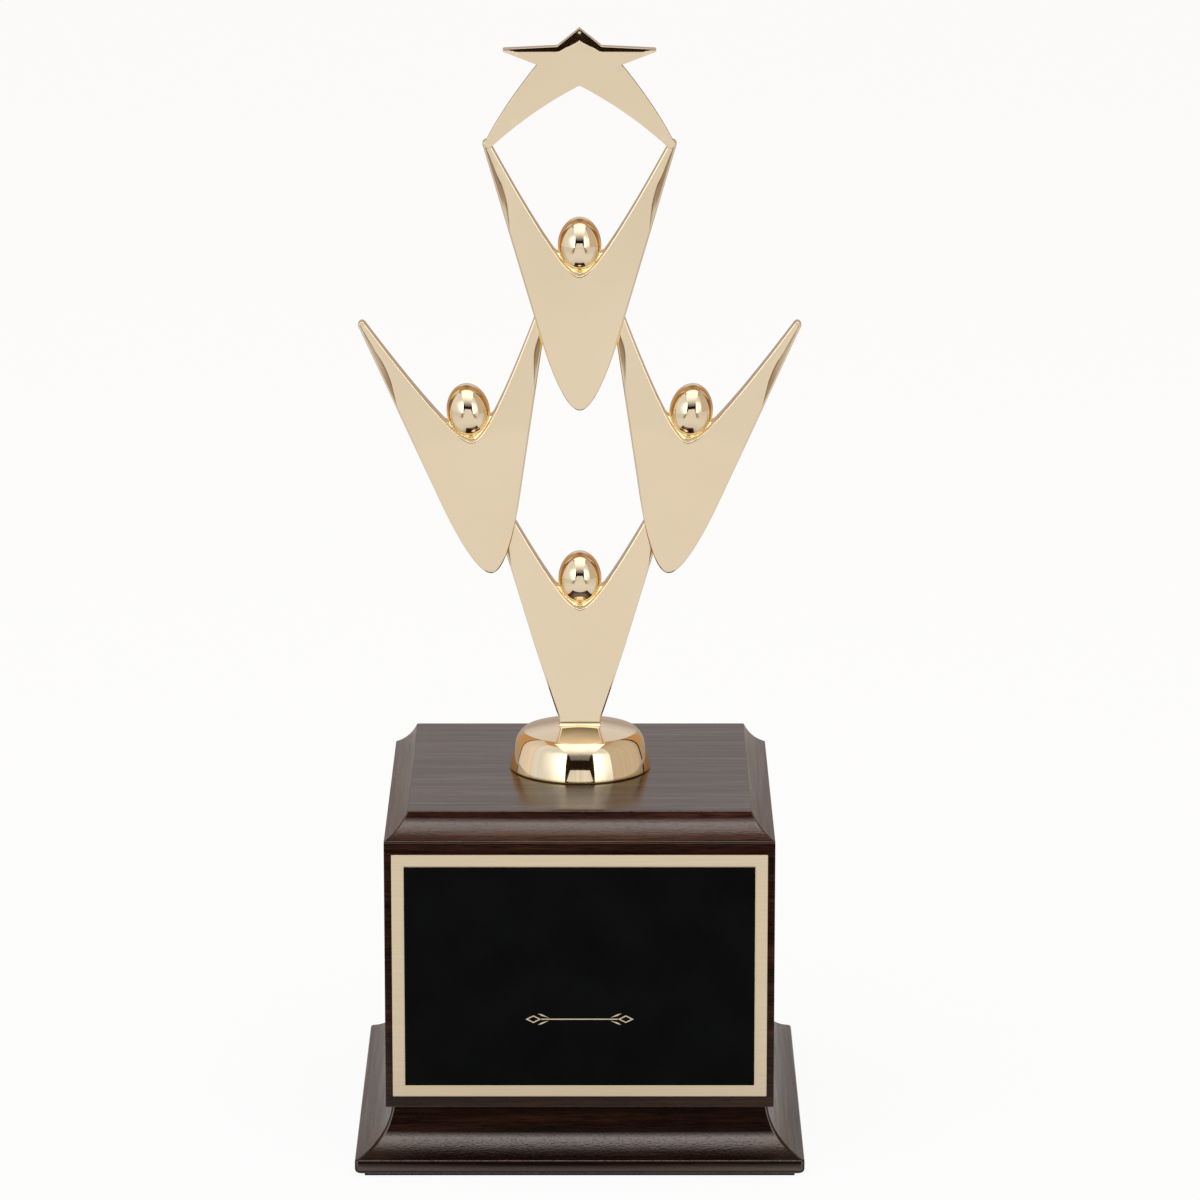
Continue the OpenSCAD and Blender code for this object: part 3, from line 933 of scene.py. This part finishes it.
def soften(name, width):
    """Rounds the edges of a piece of the construction."""
    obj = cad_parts[name]
    weld = obj.modifiers.new("weld", "WELD")
    weld.merge_threshold = WELD_DISTANCE
    round_off = obj.modifiers.new("round", "BEVEL")
    round_off.width = width * MM
    round_off.segments = 4
    round_off.limit_method = "ANGLE"
    round_off.harden_normals = True


# Front plate, in millimetres

PLATE_W = 116.4
PLATE_STACK_T = 2.2
PLATE_FRONT = -(BOX_W / 2 + PLATE_STACK_T)
STROKE_FRONT = PLATE_FRONT + 0.12
GROOVE_FLOOR = PLATE_FRONT + 0.25
ORNAMENT_HALF = 0.145 * PLATE_W
ORNAMENT_Z = 49.515
DIAMOND = np.array([0.3, 0.15]) * ORNAMENT_HALF
FEATHER = np.array([(-0.5, 0.16), (0, 0.4), (0.25, 0.75), (0, 0.65)])
STROKE = 0.4


def stroke_piece(outline):
    """A thin bright stroke on the floor of a groove in the black plate."""
    return prism("stroke", outline + [0, ORNAMENT_Z], STROKE_FRONT, GROOVE_FLOOR)


def stroke_ring(outer, inner):
    """A closed bright stroke between two outlines, on the floor of a groove in the black plate."""
    count = len(outer)
    loops = ((outer, STROKE_FRONT), (inner, STROKE_FRONT), (inner, GROOVE_FLOOR), (outer, GROOVE_FLOOR))
    points = [(x, y, z + ORNAMENT_Z) for loop, y in loops for x, z in loop]
    faces = []
    for a, b in ((0, 1), (1, 2), (2, 3), (3, 0)):
        for i in range(count):
            j = (i + 1) % count
            faces.append((a * count + i, a * count + j, b * count + j, b * count + i))
    return mesh_object("stroke", points, faces, smooth=False)


def ornament():
    """Engraved divider: a line, and at each end an open diamond and two feathers."""
    root = ORNAMENT_HALF - DIAMOND[0]
    line = np.array([root + STROKE, STROKE / 2])
    pieces = [stroke_piece(line * [(-1, -1), (1, -1), (1, 1), (-1, 1)])]
    ring = np.array([(DIAMOND[0], 0), (0, DIAMOND[1]), (-DIAMOND[0], 0), (0, -DIAMOND[1])]) / 2
    hole = ring - outward(ring) * STROKE
    middle = [ORNAMENT_HALF - DIAMOND[0] / 2, 0]
    feather = FEATHER * DIAMOND + [root, 0]
    for side in (1, -1):
        outer, inner = (((outline + middle) * [side, 1])[::side] for outline in (ring, hole))
        pieces.append(stroke_ring(outer, inner))
        for up in (1, -1):
            pieces.append(stroke_piece((feather * [side, up])[:: side * up]))
    obj = joined(*pieces)
    obj.name = "engraved_divider"
    make_piece(obj, SATIN, "satin_gold")


def make_plate():
    dress("gold_plate", SATIN)
    soften("gold_plate", PLATE_EDGE)
    dress("black_plate", BLACK)
    ornament()


def dress_hidden_pieces():
    dress("felt_pad", FELT)
    dress("plate_tape", TAPE)
    for name in ("plinth_screws", "tie_rod", "rod_washer", "rod_nut"):
        dress(name, STEEL)
    for name in ("front_left_block", "front_right_block", "back_left_block", "back_right_block"):
        dress(name, PINE)


# Studio, in metres

FLOOR_HALF = 9
SIDE_DISTANCE = 2.2
SIDE_HEIGHTS = (0.02, 2.9)

# Azimuths between which the panels on each side are bright, dim and dark, in degrees from the front
LEFT_AZIMUTHS = (-24, -86, -122, -124)
RIGHT_AZIMUTHS = (24, 55, 124, 128)

# Colour of the floor and the surroundings where they are seen, and how much of the floor glows there
WHITE = (1, 1, 1, 1)
FLOOR_GLOW_SHARE = 0.93


def emitter(name, hot_spot, reach, hot, edge, colour=(1, 1, 1)):
    """Cloth of a light panel, uneven: brightest at a hot spot and fading within a reach along each axis."""
    material = bpy.data.materials.new(name)
    material.use_nodes = True
    tree = material.node_tree
    tree.nodes.clear()
    place = add(tree, "ShaderNodeTexCoord").outputs["Object"]
    away = add(tree, "ShaderNodeMapping", Vector=place, Location=hot_spot, Scale=reach)
    away.vector_type = "TEXTURE"
    strength = span(tree, length(tree, away.outputs["Vector"]), 0, 1, hot, edge)
    strength.node.interpolation_type = "SMOOTHSTEP"
    folds = span(tree, noise(tree, coordinates(tree, (3, 3, 0.2)), 1.0), 0.3, 0.7, 0.88, 1.12)
    uneven = calculated(tree, "MULTIPLY", strength, folds)
    light = add(tree, "ShaderNodeEmission", Strength=uneven, Color=(*colour, 1))
    out = tree.nodes.new("ShaderNodeOutputMaterial")
    tree.links.new(light.outputs[0], out.inputs["Surface"])
    return material


def panel(name, corners, material):
    """A flat panel of the studio, which the camera doesn't see."""
    mesh = bpy.data.meshes.new(name)
    mesh.from_pydata(corners, [], [(0, 1, 2, 3)])
    mesh.materials.append(material)
    obj = bpy.data.objects.new(name, mesh)
    bpy.context.scene.collection.objects.link(obj)
    obj.visible_camera = False
    return obj


def floor_glow(tree):
    """What polished pieces see in the floor.

    It is painted light and shade: pale in front, dimmer to the sides and at the back, darker close by as a
    painted shadow of the trophy, and with a dark edge on each side.
    """
    spot = add(tree, "ShaderNodeTexCoord").outputs["Object"]
    place = add(tree, "ShaderNodeSeparateXYZ", Vector=spot).outputs
    aside = calculated(tree, "ABSOLUTE", place["X"])
    depth = span(tree, place["Y"], -2, 2, 0, 1)
    along = ramp(tree, depth, (0.1, 0.9), (0.2, 0.94), (0.5, 0.92), (0.62, (0.5, 0.44, 0.4)))
    across = ramp(tree, aside, (0.25, 1.0), (0.8, 0.85))
    # Painted shadow: the glow is dimmer close to the trophy
    near = ramp(tree, length(tree, spot), (0.08, 0.5), (0.14, 0.88), (0.28, 1.0))
    glow = multiplied(tree, multiplied(tree, along, across), near)
    past_edge = calculated(tree, "SUBTRACT", aside, span(tree, place["Y"], -2.4, -0.5, 1.0, 0.3))
    edge = ramp(
        tree, past_edge,
        (0.0, 1.0), (0.012, (0.14, 0.1, 0.08)), (0.04, (0.24, 0.18, 0.14)), (0.07, (0.46, 0.36, 0.29)),
        (0.2, (0.56, 0.46, 0.38)), (0.28, 1.0),
    )
    in_front = ramp(tree, depth, (0.0, 1.0), (0.34, 1.0), (0.42, 0.0))
    return mixed(tree, in_front, glow, multiplied(tree, glow, edge))


def floor_material():
    """White floor: where it is seen, mostly an even glow, and for the rest lit, which keeps the shadow."""
    material, tree, shader = new_material("floor")
    shade = noise(tree, coordinates(tree, (1, 1, 1)), 3.0)
    connect(tree, ramp(tree, shade, (0.3, 0.9), (0.7, 0.93)), shader.inputs["Base Color"])
    shader.inputs["Roughness"].default_value = 0.9
    path = add(tree, "ShaderNodeLightPath")
    seen, mirrored = path.outputs["Is Camera Ray"], path.outputs["Is Glossy Ray"]
    light = add(tree, "ShaderNodeEmission", Color=mixed(tree, seen, floor_glow(tree), WHITE))
    share = calculated(tree, "MAXIMUM", span(tree, seen, 0, 1, 0, FLOOR_GLOW_SHARE), mirrored)
    blend = add(tree, "ShaderNodeMixShader", Fac=share)
    tree.links.new(shader.outputs[0], blend.inputs[1])
    tree.links.new(light.outputs[0], blend.inputs[2])
    tree.links.new(blend.outputs[0], tree.nodes["Material Output"].inputs["Surface"])
    return material


def dark_card():
    """Matt near-black cloth."""
    material, tree, shader = new_material("dark_card")
    weave = noise(tree, coordinates(tree, (1, 1, 1)), 40.0)
    colour = ramp(tree, weave, (0.3, (0.02, 0.012, 0.007)), (0.7, (0.035, 0.02, 0.012)))
    connect(tree, colour, shader.inputs["Base Color"])
    shader.inputs["Roughness"].default_value = 1
    shader.inputs["Specular IOR Level"].default_value = 0
    return material


def upright(name, start, end, low, high, material):
    """An upright panel between two places on the floor."""
    panel(name, [(*start, low), (*end, low), (*end, high), (*start, high)], material)


def make_world():
    """Surroundings: plain white where they are seen; to the pieces, pale grey behind and brown elsewhere."""
    world = bpy.data.worlds.new("studio")
    world.use_nodes = True
    tree = world.node_tree
    outlook = add(tree, "ShaderNodeTexCoord").outputs["Generated"]
    direction = add(tree, "ShaderNodeSeparateXYZ", Vector=outlook).outputs
    behind = ramp(
        tree, direction["Z"],
        (0.0, (0.5, 0.42, 0.38)), (0.2, (0.5, 0.43, 0.4)), (0.3, (0.7, 0.65, 0.63)),
        (0.42, (0.84, 0.82, 0.83)), (0.66, (0.82, 0.79, 0.79)),
        (0.78, (0.34, 0.23, 0.15)), (1.0, (0.34, 0.22, 0.14)),
    )
    aside = calculated(tree, "ABSOLUTE", direction["X"])
    beside = calculated(tree, "SUBTRACT", aside, span(tree, direction["Y"], -1, 1, -0.5, 0.5))
    mirrored = mixed(tree, span(tree, beside, -0.1, 0.1, 0, 1), behind, (0.6, 0.36, 0.16, 1))
    seen = add(tree, "ShaderNodeLightPath").outputs["Is Camera Ray"]
    connect(tree, mixed(tree, seen, mirrored, WHITE), tree.nodes["Background"].inputs["Color"])
    bpy.context.scene.world = world


def around(azimuth, distance):
    """A place on the floor at an azimuth from the front, in degrees towards the right."""
    a = math.radians(azimuth)
    return distance * math.sin(a), -distance * math.cos(a)


def side_panels(azimuths, materials):
    """Upright panels of several materials, one after the other round a side of the object."""
    places = [around(azimuth, SIDE_DISTANCE) for azimuth in azimuths]
    for start, end, material in zip(places, places[1:], materials):
        upright("side_panel", start, end, *SIDE_HEIGHTS, material)


def make_studio():
    """White floor, light panels on the left and right, overhead and low in front, and dark cloth between."""
    apron = emitter("front_light", (0, -2.4, 0.1), (2, 2, 2), 0.95, 0.9)
    overhead = emitter("top_light", (0, -0.65, 1.9), (9, 1.8, 9), 1.8, 0.2, (0.96, 0.98, 1))
    bright = emitter("side_light", (0, -2.2, 0.75), (2.6, 2.6, 1.2), 3.4, 1.0, (0.92, 0.97, 1))
    left_cloth = emitter("left_cloth", (-2.2, 0, 0.9), (2.5, 2.5, 2.5), 0.95, 0.8, (1, 0.92, 0.85))
    right_cloth = emitter("right_cloth", (2.2, 0, 0.9), (2.5, 2.5, 2.5), 0.7, 0.6, (1, 0.87, 0.73))
    dark = dark_card()
    h = FLOOR_HALF
    floor = panel("floor", [(-h, -h, 0), (h, -h, 0), (h, h, 0), (-h, h, 0)], floor_material())
    floor.visible_camera = True
    side_panels(LEFT_AZIMUTHS, (bright, left_cloth, dark))
    side_panels(RIGHT_AZIMUTHS, (bright, right_cloth, dark))
    panel("front_panel", [(-1, -2.4, 0.01), (1, -2.4, 0.01), (0.7, -2.4, 0.62), (-0.7, -2.4, 0.62)], apron)
    upright("dark_front", (-2.4, -2.6), (2.4, -2.6), 0.01, 2.6, dark)
    panel("top_panel", [(-0.7, -2.4, 1.05), (0.7, -2.4, 1.05), (1.1, 0, 2.2), (-1.1, 0, 2.2)], overhead)
    make_world()


# Camera: place and clipping in metres, angles in degrees, sensor and lens in millimetres

CAMERA_AT = (0.0057, -1.8648, 0.6197)
CAMERA_TILT = 13.608
CAMERA_TURN = -0.02
SENSOR_W = 36
LENS = 182.2
CLIP_NEAR = 0.05
CLIP_FAR = 50


def make_camera():
    """Camera at the photograph's place, looking down on the trophy."""
    data = bpy.data.cameras.new("camera")
    data.sensor_width = SENSOR_W
    data.lens = LENS
    data.clip_start = CLIP_NEAR
    data.clip_end = CLIP_FAR
    camera = bpy.data.objects.new("camera", data)
    camera.location = CAMERA_AT
    camera.rotation_euler = (math.radians(90 - CAMERA_TILT), 0, math.radians(CAMERA_TURN))
    bpy.context.scene.collection.objects.link(camera)
    bpy.context.scene.camera = camera
    bpy.context.scene.view_settings.view_transform = "Standard"


make_sculpture()
make_foot()
make_base()
make_plate()
dress_hidden_pieces()
make_studio()
make_camera()
